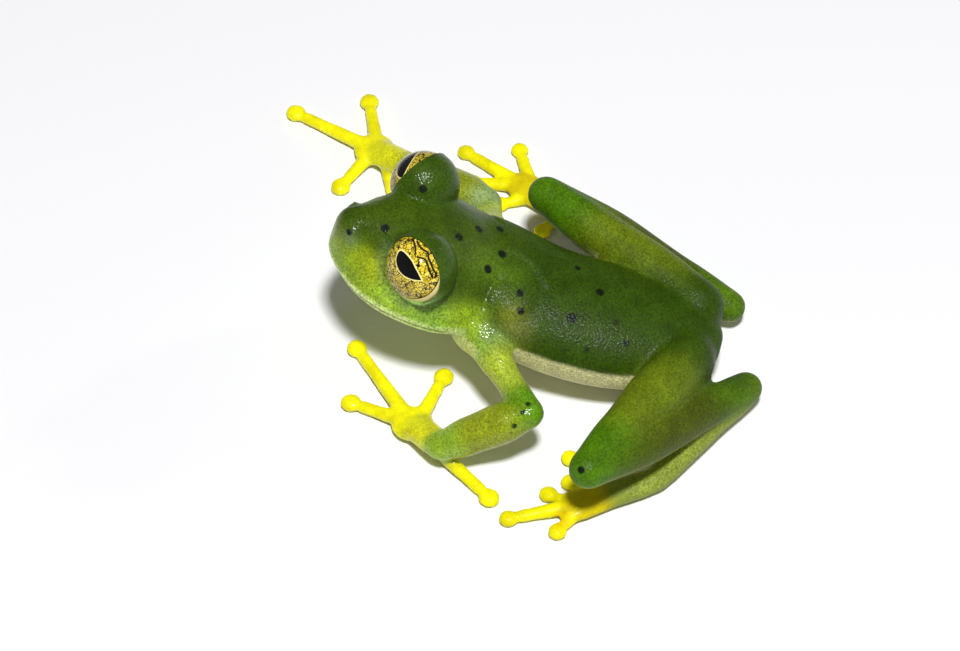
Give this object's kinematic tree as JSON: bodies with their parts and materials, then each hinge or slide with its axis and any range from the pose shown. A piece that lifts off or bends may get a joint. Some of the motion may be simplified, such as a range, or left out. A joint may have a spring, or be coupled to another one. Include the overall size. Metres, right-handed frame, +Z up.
{
  "type": "glass frog model",
  "caption": "Life-size still model of a green glass frog sitting low with its limbs spread, with gold eyes and yellow, disc-tipped fingers and toes.",
  "frame": {"origin": "centre of the bounding box's underside, on the floor that the frog sits on", "axes": "+Z up, the frog faces -Y and its left side is towards +X"},
  "size_m": [0.0326, 0.0332, 0.0121],
  "materials": {
    "green_skin": "moist, finely grained skin, satin with small wet highlights",
    "pale_skin": "moist, smooth pale skin of the lower jaw, satin",
    "yellow_skin": "moist, smooth yellow skin of hands and feet, satin",
    "eye": "glossy golden eye with fine dark veins and a dark pupil"
  },
  "bodies": {
    "root": {"head": "green_skin", "lower_jaw": "pale_skin", "torso": "green_skin", "left_eye": "eye", "right_eye": "eye", "left_upper_arm": "green_skin", "left_forearm": "green_skin", "left_thigh": "green_skin", "left_shank": "green_skin", "left_tarsus": "green_skin", "left_hand": "yellow_skin", "left_foot": "yellow_skin", "left_finger_1": "yellow_skin", "left_finger_2": "yellow_skin", "left_finger_3": "yellow_skin", "left_finger_4": "yellow_skin", "left_toe_1": "yellow_skin", "left_toe_2": "yellow_skin", "left_toe_3": "yellow_skin", "left_toe_4": "yellow_skin", "left_toe_5": "yellow_skin", "right_upper_arm": "green_skin", "right_forearm": "green_skin", "right_thigh": "green_skin", "right_shank": "green_skin", "right_tarsus": "green_skin", "right_hand": "yellow_skin", "right_foot": "yellow_skin", "right_finger_1": "yellow_skin", "right_finger_2": "yellow_skin", "right_finger_3": "yellow_skin", "right_finger_4": "yellow_skin", "right_toe_1": "yellow_skin", "right_toe_2": "yellow_skin", "right_toe_3": "yellow_skin", "right_toe_4": "yellow_skin", "right_toe_5": "yellow_skin"}
  },
  "joints": []
}
